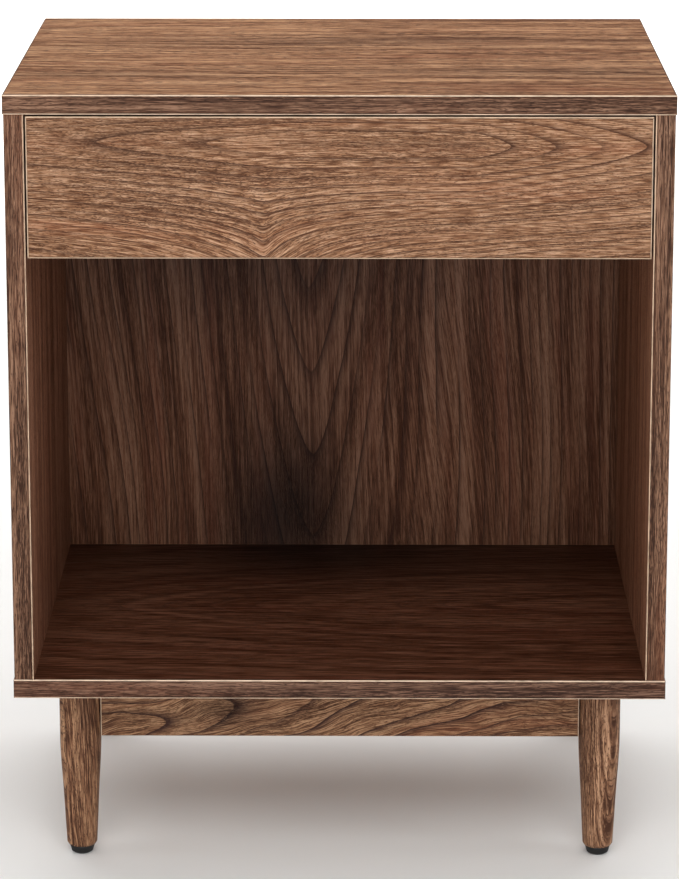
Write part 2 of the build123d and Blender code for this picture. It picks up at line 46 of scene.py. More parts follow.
def feed(tree, socket, value):
    if isinstance(value, bpy.types.NodeSocket):
        tree.links.new(value, socket)
    else:
        socket.default_value = value


def addNode(tree, kind, inputs=None, **settings):
    made = tree.nodes.new(kind)
    for name, value in settings.items():
        setattr(made, name, value)
    for name, value in (inputs or {}).items():
        feed(tree, made.inputs[name], value)
    return made


def calc(tree, operation, *values):
    made = addNode(tree, "ShaderNodeMath", operation=operation)
    for socket, value in zip(made.inputs, values):
        feed(tree, socket, value)
    return made.outputs[0]


def total(tree, *values):
    result = values[0]
    for value in values[1:]:
        result = calc(tree, "ADD", result, value)
    return result


def times(tree, *values):
    result = values[0]
    for value in values[1:]:
        result = calc(tree, "MULTIPLY", result, value)
    return result


def less(tree, a, b):
    return calc(tree, "SUBTRACT", a, b)


def ramp(tree, value, low, high, lowResult=0.0, highResult=1.0):
    # a soft step that goes from one result to the other between low and high
    inputs = {"Value": value, "From Min": low, "From Max": high}
    inputs.update({"To Min": lowResult, "To Max": highResult})
    return addNode(tree, "ShaderNodeMapRange", inputs, interpolation_type="SMOOTHSTEP").outputs[0]


def mixColours(tree, amount, first, second, blend="MIX"):
    made = addNode(tree, "ShaderNodeMix", data_type="RGBA", blend_type=blend)
    feed(tree, made.inputs[0], amount)
    feed(tree, made.inputs[6], first)
    feed(tree, made.inputs[7], second)
    return made.outputs[2]


def noise(tree, coordinates, detail=2.0, roughness=0.5, seed=0.0):
    # coordinates is (value, ...), already in noise cells; the seed moves it to another part of the noise
    joined = addNode(tree, "ShaderNodeCombineXYZ")
    for socket, value in zip(joined.inputs, (*coordinates, seed)):
        feed(tree, socket, value)
    inputs = {"Vector": joined.outputs[0], "Scale": 1.0, "Detail": detail, "Roughness": roughness}
    return addNode(tree, "ShaderNodeTexNoise", inputs).outputs[0]


def rgb(red, green, blue):
    # screen colour, 0 to 255, to the linear colour that sockets take
    shares = [c / 255 for c in (red, green, blue)]
    linear = [((share + 0.055) / 1.055) ** 2.4 if share > 0.04 else share / 12.92 for share in shares]
    return (*linear, 1.0)


def newMaterial(name):
    made = bpy.data.materials.new(name)
    made.use_nodes = True
    tree = made.node_tree
    shader = tree.nodes["Principled BSDF"]
    return made, tree, shader


def placeCoordinates(tree):
    # x, y and z on the piece itself, so a pattern moves with its piece
    place = addNode(tree, "ShaderNodeTexCoord").outputs["Object"]
    return addNode(tree, "ShaderNodeSeparateXYZ", {0: place}).outputs


def facing(tree, axis):
    # how far a face looks along an axis, from -1 to 1
    normal = addNode(tree, "ShaderNodeNewGeometry").outputs["True Normal"]
    return addNode(tree, "ShaderNodeSeparateXYZ", {0: normal}).outputs[axis]


def bumped(tree, shader, height, depth, strength=1.0):
    bump = addNode(tree, "ShaderNodeBump", {"Height": height, "Distance": depth, "Strength": strength})
    feed(tree, shader.inputs["Normal"], bump.outputs[0])


# walnut: what every board starts from. Lengths are in metres.
walnut = {
    "along": 0, "across": 2, "through": 1,  # axes of the grain, the face and the thickness
    "middle": (0.0, 0.0, 0.0),  # where along, across and through are counted from
    "wraps": False,  # a band round four edges, whose grain follows each edge
    "turn": 0.0,  # turns across and through about the grain
    "slope": 0.0,  # run-out of the grain along the piece
    "seed": 1.0,
    "sway": 0.006,  # how far the grain wanders
    "swayLength": 0.45,
    "swayWidth": 0.11,
    "hills": (),  # (along, across, half length, half width, height) of each swelling of the grain
    "valleys": (),  # (along, across, length before, length after, half width, depth) of each pointed dip
    "loop": None,  # (start along, end along, across, depth to the heart, slope before, slope after)
    "point": 2.0,  # 2 makes the loops round and 1 makes them pointed
    "ringStart": 0.0,
    "pith": None,  # distance through to the heart, for turned pieces
    "rings": 0.0085,  # ring width
    "ringWander": 0.5,
    "ringStrength": 0.95,  # of the thin line
    "ringEdge": 12.0,  # higher for a thinner line
    "ringLeast": 0.2,  # what is left of it where it fades out
    "ringShade": 0.30,  # of the soft dark side beside it
    "stainsAndShade": (),  # (along, across, half length, half width, strength) of each dark patch: heartwood stain on the top and the apron, painted shade at the back of the bay's floor, and on the bay's back partly painted shade and partly heartwood stain
    "stainAndShadeTone": rgb(60, 46, 50),
    "dark": rgb(94, 55, 30),
    "middleTone": rgb(146, 102, 70),
    "light": rgb(188, 146, 112),
    "red": rgb(146, 84, 56),
    "redAmount": 0.35,
    "ringTone": rgb(76, 46, 30),
    "poreTone": rgb(70, 42, 27),
    "pores": 0.8,
    "poreLength": 0.0048,
    "poreWidth": 0.00058,
    "poreCover": 0.53,  # lower for more pores
    "poreShuffle": 0.02,  # moves pores along the grain, so that they don't stand in rows
    "bands": 1.2,  # strength of the broad bands,
    "streaks": 1.5,  # of the middle streaks
    "streakWidth": 0.0024,
    "fibre": 2.8,  # and of the fine fibre
    "fibreLength": 0.019,
    "fibreWidth": 0.0008,
    "roughness": 0.46,
    "glossSpread": 0.16,  # how much duller the dark wood is than the light wood
    "specular": 0.15,
    "bump": 0.00022,
    "bumpStrength": 0.8,
}

# the layers that every walnut figure is built from. Cells are counted per metre.
layers = {
    "slowSway": 4.0, "quickSway": 0.35,  # shares of the board's own sway
    "quickAlong": 16.0, "quickAcross": 60.0,
    "wanderRings": 0.35, "wanderAlong": 0.9,
    "ringFade": 3.0,  # higher for a narrower shade beside a ring line
    "ringRise": 0.035,  # the share of a ring in which its line begins
    "comeAlong": 6.0, "comeRings": 1.37, "come": (0.34, 0.56),  # where ring lines come and go
    "bandAcross": 70.0, "bandAlong": 1.6, "streakAlong": 5.0,
    "darkAt": 0.12, "middleAt": 0.5, "lightAt": 0.92,  # places of the three tones
    "redAlong": 2.5, "redAcross": 55.0, "red": (0.5, 0.72),
    "crowdAcross": 130.0, "crowdAlong": 4.0, "crowd": (0.3, 0.7), "crowding": (0.04, -0.07),
    "poreSoftness": 0.09, "glint": (0.44, 0.30), "glintShare": 0.4,
    "poreHeight": -1.0, "fibreHeight": 0.5, "ringHeight": -0.5,
}
# what each layer adds to a board's seed, so that no two layers share a pattern
seedSteps = {
    "quick": 3.7, "wander": 11, "come": 23, "bands": 31, "streaks": 43,
    "fibre": 57, "red": 67, "pores": 79, "crowd": 83, "bevelHighlight": 91,
}
# how far a face looks along an axis, from where a finish begins to where it is full
endFacing = 0.7
bayFacing = (0.4, 0.6)
flatFacing = (0.6, 0.8)
bevelFrom = (0.45, 0.6)
bevelTo = (0.97, 0.9)
# how softly two lines of grain run into each other
dipBlend = 0.1
loopBlend = 0.001


def grainPlace(tree, look):
    axes = placeCoordinates(tree)
    along, across, through = (
        less(tree, axes[look[name]], start)
        for name, start in zip(("along", "across", "through"), look["middle"])
    )
    if look["wraps"]:
        onEnd = calc(tree, "GREATER_THAN", calc(tree, "ABSOLUTE", facing(tree, 0)), endFacing)
        along = total(tree, times(tree, along, less(tree, 1.0, onEnd)), times(tree, axes[2], onEnd))
    if look["turn"]:
        c, s = math.cos(look["turn"]), math.sin(look["turn"])
        turned = total(tree, times(tree, across, c), times(tree, through, s))
        through = less(tree, times(tree, through, c), times(tree, across, s))
        across = turned
    if look["slope"]:
        across = total(tree, across, times(tree, along, look["slope"]))
    return along, across, through


def spot(tree, along, across, middleAlong, middleAcross, halfLength, halfWidth):
    # 1 in the middle of an oval, falling away smoothly
    du = times(tree, less(tree, along, middleAlong), 1 / halfLength)
    dv = times(tree, less(tree, across, middleAcross), 1 / halfWidth)
    spread = total(tree, times(tree, du, du), times(tree, dv, dv))
    return calc(tree, "POWER", math.e, times(tree, spread, -1.0))


def waveredGrain(tree, look, along, across):
    # the line of the grain: across the face, pushed about by slow noise and by each hill and valley
    slow = noise(
        tree,
        (times(tree, along, 1 / look["swayLength"]), times(tree, across, 1 / look["swayWidth"])),
        seed=look["seed"],
    )
    quick = noise(
        tree,
        (times(tree, along, layers["quickAlong"]), times(tree, across, layers["quickAcross"])),
        roughness=0.55,
        seed=look["seed"] + seedSteps["quick"],
    )
    line = total(
        tree,
        across,
        times(tree, less(tree, slow, 0.5), layers["slowSway"] * look["sway"]),
        times(tree, less(tree, quick, 0.5), layers["quickSway"] * look["sway"]),
    )
    for hillAlong, hillAcross, halfLength, halfWidth, height in look["hills"]:
        swell = spot(tree, along, across, hillAlong, hillAcross, halfLength, halfWidth)
        line = total(tree, line, times(tree, swell, -height))
    for dipAlong, dipAcross, before, after, halfWidth, depth in look["valleys"]:
        past = times(tree, less(tree, along, dipAlong), 1 / after)
        ahead = times(tree, less(tree, dipAlong, along), 1 / before)
        du = calc(tree, "SMOOTH_MAX", past, ahead, dipBlend)
        dv = times(tree, less(tree, across, dipAcross), 1 / halfWidth)
        fall = calc(tree, "POWER", math.e, times(tree, total(tree, du, times(tree, dv, dv)), -1.0))
        line = total(tree, line, times(tree, fall, depth))
    return line


def ringDistance(tree, look, along, line, through):
    # distance from the heart of the tree: rings are where it passes a whole number of widths
    if look["loop"]:
        start, end, middle, heart, before, after = look["loop"]
        ahead = times(tree, less(tree, start, along), before)
        behind = times(tree, less(tree, along, end), after)
        reach = calc(tree, "SMOOTH_MAX", ahead, behind, loopBlend)
        reach = calc(tree, "SMOOTH_MAX", reach, 0.0, loopBlend)
        reach = calc(tree, "POWER", total(tree, reach, heart), look["point"])
        side = calc(tree, "POWER", calc(tree, "ABSOLUTE", less(tree, line, middle)), look["point"])
        return calc(tree, "POWER", total(tree, reach, side), 1 / look["point"])
    if look["pith"]:
        side = total(tree, through, look["pith"])
        return calc(tree, "SQRT", total(tree, times(tree, side, side), times(tree, line, line)))
    return line


def ringLines(tree, look, along, rings):
    # growth rings: a thin dark line that fades slowly on one side, and comes and goes along the board
    seed = look["seed"]
    wander = noise(
        tree,
        (
            times(tree, rings, layers["wanderRings"] / look["rings"]),
            times(tree, along, layers["wanderAlong"]),
        ),
        seed=seed + seedSteps["wander"],
    )
    count = total(
        tree,
        times(tree, rings, 1 / look["rings"]),
        times(tree, less(tree, wander, 0.5), 2 * look["ringWander"]),
        look["ringStart"],
    )
    phase = calc(tree, "FRACT", count)
    left = less(tree, 1.0, phase)
    lateWood = total(
        tree,
        times(tree, calc(tree, "POWER", left, look["ringEdge"]), look["ringStrength"]),
        times(tree, calc(tree, "POWER", left, layers["ringFade"]), look["ringShade"]),
    )
    edge = ramp(tree, phase, 0.0, layers["ringRise"])
    comes = noise(
        tree,
        (
            times(tree, along, layers["comeAlong"]),
            times(tree, calc(tree, "FLOOR", count), layers["comeRings"]),
        ),
        detail=1.0,
        seed=seed + seedSteps["come"],
    )
    return times(tree, lateWood, edge, ramp(tree, comes, *layers["come"], look["ringLeast"], 1.0))


def walnutFigure(tree, look, stainAndShadeShown=1.0):
    seed = look["seed"]
    along, across, through = grainPlace(tree, look)
    line = waveredGrain(tree, look, along, across)
    rings = ringDistance(tree, look, along, line, through)
    ringLine = ringLines(tree, look, along, rings)

    # broad bands, middle streaks and fine fibre
    bands = noise(
        tree,
        (times(tree, rings, layers["bandAcross"]), times(tree, along, layers["bandAlong"])),
        detail=3.0, roughness=0.6, seed=seed + seedSteps["bands"],
    )
    streaks = noise(
        tree,
        (times(tree, along, layers["streakAlong"]), times(tree, line, 1 / look["streakWidth"])),
        detail=3.0, roughness=0.62, seed=seed + seedSteps["streaks"],
    )
    fibre = noise(
        tree,
        (times(tree, along, 1 / look["fibreLength"]), times(tree, line, 1 / look["fibreWidth"])),
        detail=1.0, roughness=0.6, seed=seed + seedSteps["fibre"],
    )
    tone = total(
        tree,
        0.5,
        times(tree, less(tree, bands, 0.5), look["bands"]),
        times(tree, less(tree, streaks, 0.5), look["streaks"]),
        times(tree, less(tree, fibre, 0.5), look["fibre"]),
    )
    colours = addNode(tree, "ShaderNodeValToRGB", {"Fac": tone})
    stops = colours.color_ramp.elements
    stops[0].position, stops[0].color = layers["darkAt"], look["dark"]
    stops[1].position, stops[1].color = layers["lightAt"], look["light"]
    stops.new(layers["middleAt"]).color = look["middleTone"]
    colour = colours.outputs[0]
    redness = noise(
        tree,
        (times(tree, along, layers["redAlong"]), times(tree, line, layers["redAcross"])),
        seed=seed + seedSteps["red"],
    )
    reddened = ramp(tree, redness, *layers["red"], 0.0, look["redAmount"])
    colour = mixColours(tree, reddened, colour, look["red"])
    colour = mixColours(tree, ringLine, colour, look["ringTone"])

    # dark patches: heartwood stain on some boards, painted shade on the faces in the bay
    for middleAlong, middleAcross, halfLength, halfWidth, strength in look["stainsAndShade"]:
        patch = spot(tree, along, across, middleAlong, middleAcross, halfLength, halfWidth)
        darker = mixColours(tree, 1.0, colour, look["stainAndShadeTone"], "MULTIPLY")
        colour = mixColours(tree, times(tree, patch, strength, stainAndShadeShown), colour, darker)

    # pores: short dark dashes along the grain, closer together in some rings
    poreAlong = total(tree, along, times(tree, fibre, look["poreShuffle"]))
    pore = noise(
        tree,
        (times(tree, poreAlong, 1 / look["poreLength"]), times(tree, line, 1 / look["poreWidth"])),
        detail=1.5, seed=seed + seedSteps["pores"],
    )
    crowd = noise(
        tree,
        (times(tree, rings, layers["crowdAcross"]), times(tree, along, layers["crowdAlong"])),
        seed=seed + seedSteps["crowd"],
    )
    level = ramp(tree, crowd, *layers["crowd"], *layers["crowding"])
    cover = look["poreCover"]
    dashes = ramp(tree, total(tree, pore, level), cover, cover + layers["poreSoftness"])
    glints = ramp(tree, less(tree, pore, level), *layers["glint"])
    colour = mixColours(tree, times(tree, dashes, look["pores"]), colour, look["poreTone"])
    glinting = look["pores"] * layers["glintShare"]
    colour = mixColours(tree, times(tree, glints, glinting), colour, look["light"])
    height = total(
        tree,
        times(tree, dashes, layers["poreHeight"]),
        times(tree, fibre, layers["fibreHeight"]),
        times(tree, ringLine, layers["ringHeight"]),
    )
    return colour, height, tone


coreLook = {
    "chips": 260.0, "dust": 1100.0,  # cells per metre
    "chipShare": 0.7, "dustShare": 0.3, "contrast": (0.38, 0.62),
    "dark": rgb(112, 86, 64), "light": rgb(172, 140, 108),
}


def rawCore(tree):
    # the pressed board inside: pale brown with chips
    axes = placeCoordinates(tree)
    chips, dust = (
        noise(
            tree,
            (times(tree, axes[0], scale), times(tree, axes[1], scale)),
            roughness=0.65,
            seed=times(tree, axes[2], scale),
        )
        for scale in (coreLook["chips"], coreLook["dust"])
    )
    chips = times(tree, chips, coreLook["chipShare"])
    dust = times(tree, dust, coreLook["dustShare"])
    pale = ramp(tree, total(tree, chips, dust), *coreLook["contrast"])
    return mixColours(tree, pale, coreLook["dark"], coreLook["light"])


def finishWood(tree, shader, look, colour, height, tone):
    feed(tree, shader.inputs["Base Color"], colour)
    gloss = total(tree, look["roughness"], times(tree, less(tree, 0.5, tone), look["glossSpread"]))
    feed(tree, shader.inputs["Roughness"], gloss)
    shader.inputs["Specular IOR Level"].default_value = look["specular"]
    bumped(tree, shader, height, look["bump"], look["bumpStrength"])


def boardMaterial(name, changes, inner=None):
    # veneer on the two faces and raw board elsewhere. inner is (direction, tint) of a face in the bay,
    # where the tint is painted shade that darkens that face; the dark patches, painted shade on some
    # boards and heartwood stain on others, show on that face only.
    look = {**walnut, **changes}
    made, tree, shader = newMaterial(name)
    looksIn = 1.0
    if inner:
        direction, shadeTint = inner
        looksIn = ramp(tree, times(tree, facing(tree, look["through"]), direction), *bayFacing)
    colour, height, tone = walnutFigure(tree, look, looksIn)
    # painted shade: a face that looks into the bay is darkened by multiplying its colour with the tint
    if inner:
        colour = mixColours(tree, looksIn, colour, mixColours(tree, 1.0, colour, shadeTint, "MULTIPLY"))
    onFace = ramp(tree, calc(tree, "ABSOLUTE", facing(tree, look["through"])), *flatFacing)
    colour = mixColours(tree, onFace, rawCore(tree), colour)
    # painted highlight: a pale line at both ends of the board, in the bands' highlight colour
    if "paleEnds" in look:
        reach = calc(tree, "ABSOLUTE", placeCoordinates(tree)[look["along"]])
        endHighlight = ramp(tree, reach, look["paleEnds"] - look["paleWidth"], look["paleEnds"])
        colour = mixColours(tree, times(tree, endHighlight, look["paleStrength"]), colour, bandLook["bevelHighlight"])
    finishWood(tree, shader, look, colour, height, tone)
    return made


def bandMaterial(name, changes, highlightBevels):
    # a band along an edge: the last argument gives the (axis, direction) of the bevels that carry a
    # painted highlight, a pale line standing in for the light that the rounded arris catches
    look = {**walnut, **bandLook, **changes}
    made, tree, shader = newMaterial(name)
    colour, height, tone = walnutFigure(tree, look)
    highlighted = 0.0
    for axis, direction in highlightBevels:
        lean = facing(tree, axis)
        lean = calc(tree, "ABSOLUTE", lean) if direction == 0 else times(tree, lean, direction)
        slanted = times(tree, ramp(tree, lean, *bevelFrom), ramp(tree, lean, *bevelTo))
        highlighted = slanted if highlighted == 0.0 else calc(tree, "MAXIMUM", highlighted, slanted)
    axes = placeCoordinates(tree)
    patchy = noise(
        tree,
        [times(tree, axes[i], look["highlightCells"]) for i in (0, 2)],
        detail=3.0, roughness=0.6, seed=look["seed"] + seedSteps["bevelHighlight"],
    )
    strength = ramp(tree, patchy, *look["highlightPatches"], look["highlightLow"], look["highlightHigh"])
    # painted highlight: a pale line on the bevels, patchy along the band
    colour = mixColours(tree, times(tree, highlighted, strength), colour, look["bevelHighlight"])
    finishWood(tree, shader, look, colour, height, tone)
    return made


def dress(material, *names):
    for name in names:
        mesh = parts[name].data
        mesh.materials.clear()
        mesh.materials.append(material)


# boards and the bands along their edges

bandLook = {
    "sway": 0.0025, "rings": 0.006, "ringStrength": 0.5, "redAmount": 0.2, "bands": 1.6, "streaks": 2.4,
    "fibre": 2.5, "dark": rgb(58, 35, 24), "middleTone": rgb(99, 68, 50), "light": rgb(142, 107, 85),
    "poreTone": rgb(50, 31, 23), "swayWidth": 0.02,
    "bevelHighlight": rgb(236, 210, 184), "highlightLow": 0.5, "highlightHigh": 1.0,  # of the painted highlight on the bevels
    "highlightCells": 55.0, "highlightPatches": (0.25, 0.6),
}

boards = {
    "top_panel": {
        "across": 1, "through": 2, "seed": 4.0, "middle": (0.0, 0.0, 0.6),
        "sway": 0.012, "loop": (0.30, 0.95, 0.138, 0.006, 0.075, 0.1), "point": 1.35,
        "rings": 0.0036, "ringWander": 1.0, "ringStrength": 0.7, "ringEdge": 5.0,
        "bands": 2.2, "streaks": 2.8, "streakWidth": 0.0042, "fibre": 3.0, "fibreWidth": 0.0016,
        "fibreLength": 0.030,
        "poreLength": 0.007, "poreWidth": 0.0016,
        "dark": rgb(98, 58, 35), "middleTone": rgb(160, 110, 74), "light": rgb(206, 156, 114),
        "redAmount": 0.3,
        "stainsAndShade": (
            (0.17, -0.085, 0.16, 0.022, 0.4),
            (-0.2, -0.10, 0.12, 0.014, 0.3),
            (0.02, 0.07, 0.2, 0.03, 0.3),
        ),
    },
    "drawer_front": {
        "seed": 9.0, "middle": (0.0, 0.549, -0.19),
        "sway": 0.003, "loop": (-0.031, 0.102, 0.034, 0.030, 0.046, 0.118), "point": 1.6,
        "valleys": ((-0.057, -0.074, 0.13, 0.08, 0.055, 0.042),),
        "rings": 0.004, "ringStart": 0.725, "ringWander": 0.3, "ringEdge": 5.0, "ringLeast": 0.4,
        "bands": 0.6, "streaks": 0.8, "fibre": 2.6, "fibreWidth": 0.0007, "fibreLength": 0.017,
        "pores": 0.75, "poreCover": 0.52, "poreLength": 0.0027, "poreWidth": 0.0006,
        "dark": rgb(94, 57, 34), "middleTone": rgb(148, 106, 76), "light": rgb(190, 150, 120),
        "redAmount": 0.25,
    },
    "bottom_panel": {
        "across": 1, "through": 2, "seed": 15.0, "middle": (0.0, 0.0, 0.15),
        "sway": 0.008, "loop": (0.20, 0.95, 0.0, 0.008, 0.24, 0.1), "point": 1.5,
        "rings": 0.009, "ringWander": 0.8, "ringStrength": 0.4,
        "bands": 1.8, "streaks": 1.9, "fibre": 1.9, "fibreWidth": 0.0020, "fibreLength": 0.034,
        "pores": 0.4, "poreLength": 0.012, "poreWidth": 0.0022,
        # painted shade: dark patches that darken the back of the bay's floor
        "stainsAndShade": ((0.0, 0.20, 0.30, 0.13, 0.7), (-0.02, 0.15, 0.10, 0.07, 0.6)),
    },
    "left_side_panel": {
        "along": 2, "across": 1, "through": 0, "seed": 21.0, "middle": (0.0, 0.0, -0.24),
        "sway": 0.010, "rings": 0.014,
        "bands": 1.8, "streaks": 1.8, "fibre": 2.0,
    },
    "right_side_panel": {
        "along": 2, "across": 1, "through": 0, "seed": 27.0, "middle": (0.0, 0.0, 0.24),
        "sway": 0.010, "rings": 0.014,
        "bands": 1.8, "streaks": 1.8, "fibre": 2.0,
    },
    "back_panel": {
        "along": 2, "across": 0, "through": 1, "seed": 33.0, "middle": (0.0, 0.0, 0.18),
        "sway": 0.005, "loop": (0.62, 0.90, -0.028, 0.012, 0.13, 0.13), "point": 1.55,
        "hills": ((0.12, 0.14, 0.24, 0.11, 0.036), (0.14, -0.19, 0.20, 0.06, 0.020)),
        "rings": 0.0097, "ringStart": 0.70, "ringStrength": 0.8, "ringShade": 0.5,
        "bands": 2.2, "streaks": 1.9, "fibre": 1.4, "fibreWidth": 0.0007,
        "pores": 0.3,
        # dark patches on the bay's back: partly painted shade, partly heartwood stain
        "stainsAndShade": (
            (0.19, -0.05, 0.09, 0.06, 0.9),
            (0.42, -0.07, 0.08, 0.2, 0.55),
            (0.16, 0.0, 0.05, 0.25, 0.3),
        ),
    },
    "front_apron": {
        "seed": 39.0, "middle": (0.0, 0.12, -0.15),
        "sway": 0.006, "swayLength": 0.08, "swayWidth": 0.04,
        "loop": (-1.2, -0.30, -0.062, 0.004, 0.1, 0.125),
        "hills": ((0.19, 0.0, 0.38, 4.0, 0.11),),
        "rings": 0.0078, "ringWander": 0.5, "ringStrength": 1.0, "ringEdge": 8.0, "ringShade": 0.5,
        "poreLength": 0.0027, "poreWidth": 0.0006,
        "dark": rgb(81, 51, 34), "middleTone": rgb(133, 95, 68), "light": rgb(181, 141, 108),
        "ringTone": rgb(58, 35, 30),
        # painted highlight along the apron's end arrises
        "paleEnds": 0.1888, "paleWidth": 0.0003, "paleStrength": 0.8,
        "stainsAndShade": ((-0.092, 0.0, 0.022, 0.012, 0.6),),
    },
    "rear_apron": {
        "seed": 45.0, "middle": (0.0, 0.12, 0.15),
        "sway": 0.006, "swayLength": 0.15,
        "hills": ((0.05, 0.0, 0.16, 0.30, 0.045),),
        "rings": 0.0095,
    },
}
# painted shade: the direction of each face that looks into the bay, and the tint that darkens it
bayShadeTints = {
    "bottom_panel": (1, rgb(162, 142, 144)),
    "left_side_panel": (1, rgb(238, 224, 236)),
    "right_side_panel": (-1, rgb(245, 232, 242)),
    "back_panel": (-1, rgb(204, 194, 200)),
}
for name, changes in boards.items():
    dress(boardMaterial(name + "_walnut", changes, bayShadeTints.get(name)), name)
print("boards veneered:", len(boards))

# painted highlight on the side bands' inner bevel
sideBevelHighlight = rgb(216, 186, 158)
bands = {
    # what differs from bandLook, and the (axis, direction) of each bevel with a painted highlight, 0 for
    # both ways
    "top_front_edge_band": ({"middle": (0.0, 0.612, -0.2), "seed": 51.0}, ((2, 0),)),
    "bottom_front_edge_band": (
        {
            "middle": (0.0, 0.151, -0.2), "seed": 57.0,
            "dark": rgb(52, 32, 24), "middleTone": rgb(92, 64, 50), "light": rgb(132, 100, 82),
        },
        ((2, 0),),
    ),
    "top_end_edge_bands": ({"along": 1, "through": 0, "middle": (0.0, 0.612, 0.0), "seed": 63.0}, ()),
    "bottom_end_edge_bands": ({"along": 1, "through": 0, "middle": (0.0, 0.151, 0.0), "seed": 69.0}, ()),
    "left_side_edge_band": (
        {"along": 2, "across": 0, "middle": (0.38, -0.246, -0.2), "seed": 75.0, "bevelHighlight": sideBevelHighlight},
        ((0, 1),),
    ),
    "right_side_edge_band": (
        {"along": 2, "across": 0, "middle": (0.38, 0.246, -0.2), "seed": 81.0, "bevelHighlight": sideBevelHighlight},
        ((0, -1),),
    ),
    "drawer_front_edge_bands": (
        {
            "across": 1, "through": 2, "wraps": True, "middle": (0.0, -0.19, 0.55), "seed": 9.0,
            "bevelHighlight": rgb(220, 192, 164),
        },
        ((0, 0), (2, 0)),
    ),
}
for name, (changes, highlightBevels) in bands.items():
    dress(bandMaterial(name + "_walnut", changes, highlightBevels), name)
print("edges banded:", len(bands))

# legs: solid walnut, each one cut from its own place in the tree
legMiddle = 0.07  # height that the grain is counted from
legs = {
    "front_left_leg": {"middle": (legMiddle, -0.206, -0.152), "turn": 0.5, "slope": 0.055, "seed": 87.0},
    "front_right_leg": {
        "middle": (legMiddle, 0.206, -0.152), "turn": 2.3, "slope": -0.030, "seed": 93.0,
        # lighter tones: painted light, which makes this leg brighter than the other three
        "dark": rgb(74, 46, 32), "middleTone": rgb(129, 91, 67), "light": rgb(184, 143, 112),
    },
    "rear_left_leg": {"middle": (legMiddle, -0.206, 0.152), "turn": 4.0, "slope": 0.025, "seed": 99.0},
    "rear_right_leg": {"middle": (legMiddle, 0.206, 0.152), "turn": 5.2, "slope": -0.015, "seed": 105.0},
}
legLook = {
    "along": 2, "across": 0, "through": 1, "sway": 0.002, "swayWidth": 0.04, "pith": 0.035,
    "rings": 0.0045, "ringStrength": 0.8, "swayLength": 0.12, "bands": 2.0, "streaks": 2.2, "fibre": 2.1,
    "poreLength": 0.0030, "poreWidth": 0.0006,
    "dark": rgb(68, 42, 29), "middleTone": rgb(120, 83, 60), "light": rgb(172, 132, 100),
}
for name, changes in legs.items():
    look = {**walnut, **legLook, **changes}
    made, tree, shader = newMaterial(name + "_walnut")
    finishWood(tree, shader, look, *walnutFigure(tree, look))
    dress(made, name)
print("legs turned:", len(legs))

# drawer box: pale ply, with its layers showing on the edges
plyLook = {
    "sway": 0.006, "rings": 0.02, "ringStrength": 0.18, "ringShade": 0.1, "redAmount": 0.1, "pores": 0.35,
    "bands": 0.8, "streaks": 0.8, "fibre": 1.0,
    "dark": rgb(176, 140, 104), "middleTone": rgb(202, 168, 130), "light": rgb(220, 190, 154),
    "red": rgb(196, 150, 116), "ringTone": rgb(160, 120, 84), "poreTone": rgb(150, 112, 78),
    "plies": 9, "thickness": 0.012, "roughness": 0.55,
    "layerLight": rgb(206, 172, 134), "layerDark": rgb(150, 112, 80), "layerSoftness": (0.35, 0.65),
    "edgeGrain": 0.35,  # how much of the grain shows on the edges
}
plyBoards = {
    "drawer_left_side": {"along": 1, "through": 0, "seed": 111.0},
    "drawer_right_side": {"along": 1, "through": 0, "seed": 117.0},
    "drawer_back": {"along": 0, "through": 1, "seed": 123.0},
    "drawer_bottom": {
        "along": 0, "across": 1, "through": 2, "seed": 129.0, "plies": 3, "thickness": 0.004,
    },
}
for name, changes in plyBoards.items():
    look = {**walnut, **plyLook, **changes}
    low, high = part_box(name)
    made, tree, shader = newMaterial(name + "_ply")
    colour, height, tone = walnutFigure(tree, look)
    depth = less(tree, placeCoordinates(tree)[look["through"]], low[look["through"]])
    layer = calc(tree, "PINGPONG", times(tree, depth, look["plies"] / look["thickness"]), 1.0)
    dark = ramp(tree, layer, *look["layerSoftness"])
    glued = mixColours(tree, dark, look["layerLight"], look["layerDark"])
    onFace = ramp(tree, calc(tree, "ABSOLUTE", facing(tree, look["through"])), *flatFacing)
    colour = mixColours(tree, onFace, mixColours(tree, look["edgeGrain"], glued, colour), colour)
    finishWood(tree, shader, look, colour, height, tone)
    dress(made, name)
print("drawer box boards:", len(plyBoards))

# metal and plastic

metals = {
    # brush is (axis of the brushing, cells along it, cells across it)
    "zincSheet": {
        "colour": rgb(196, 200, 206), "worn": rgb(158, 163, 170), "roughness": 0.34,
        "brush": (1, 30.0, 2600.0),
    },
    "ballSteel": {
        "colour": rgb(214, 216, 220), "worn": rgb(190, 192, 196), "roughness": 0.12,
        "brush": (0, 90.0, 90.0),
    },
    "castZinc": {
        "colour": rgb(170, 171, 172), "worn": rgb(132, 134, 138), "roughness": 0.42,
        "brush": (0, 500.0, 700.0),
    },
    "screwSteel": {
        "colour": rgb(206, 200, 176), "worn": rgb(168, 158, 126), "roughness": 0.3,
        "brush": (2, 160.0, 900.0),
    },
    "cageSteel": {
        "colour": rgb(150, 152, 156), "worn": rgb(118, 120, 126), "roughness": 0.4,
        "brush": (1, 40.0, 1600.0),
    },
}
metalWear = {
    "patches": 40.0, "patchy": (0.35, 0.7), "shinier": 0.08, "duller": 0.16,
    "bump": 0.00004, "bumpStrength": 0.5,
}


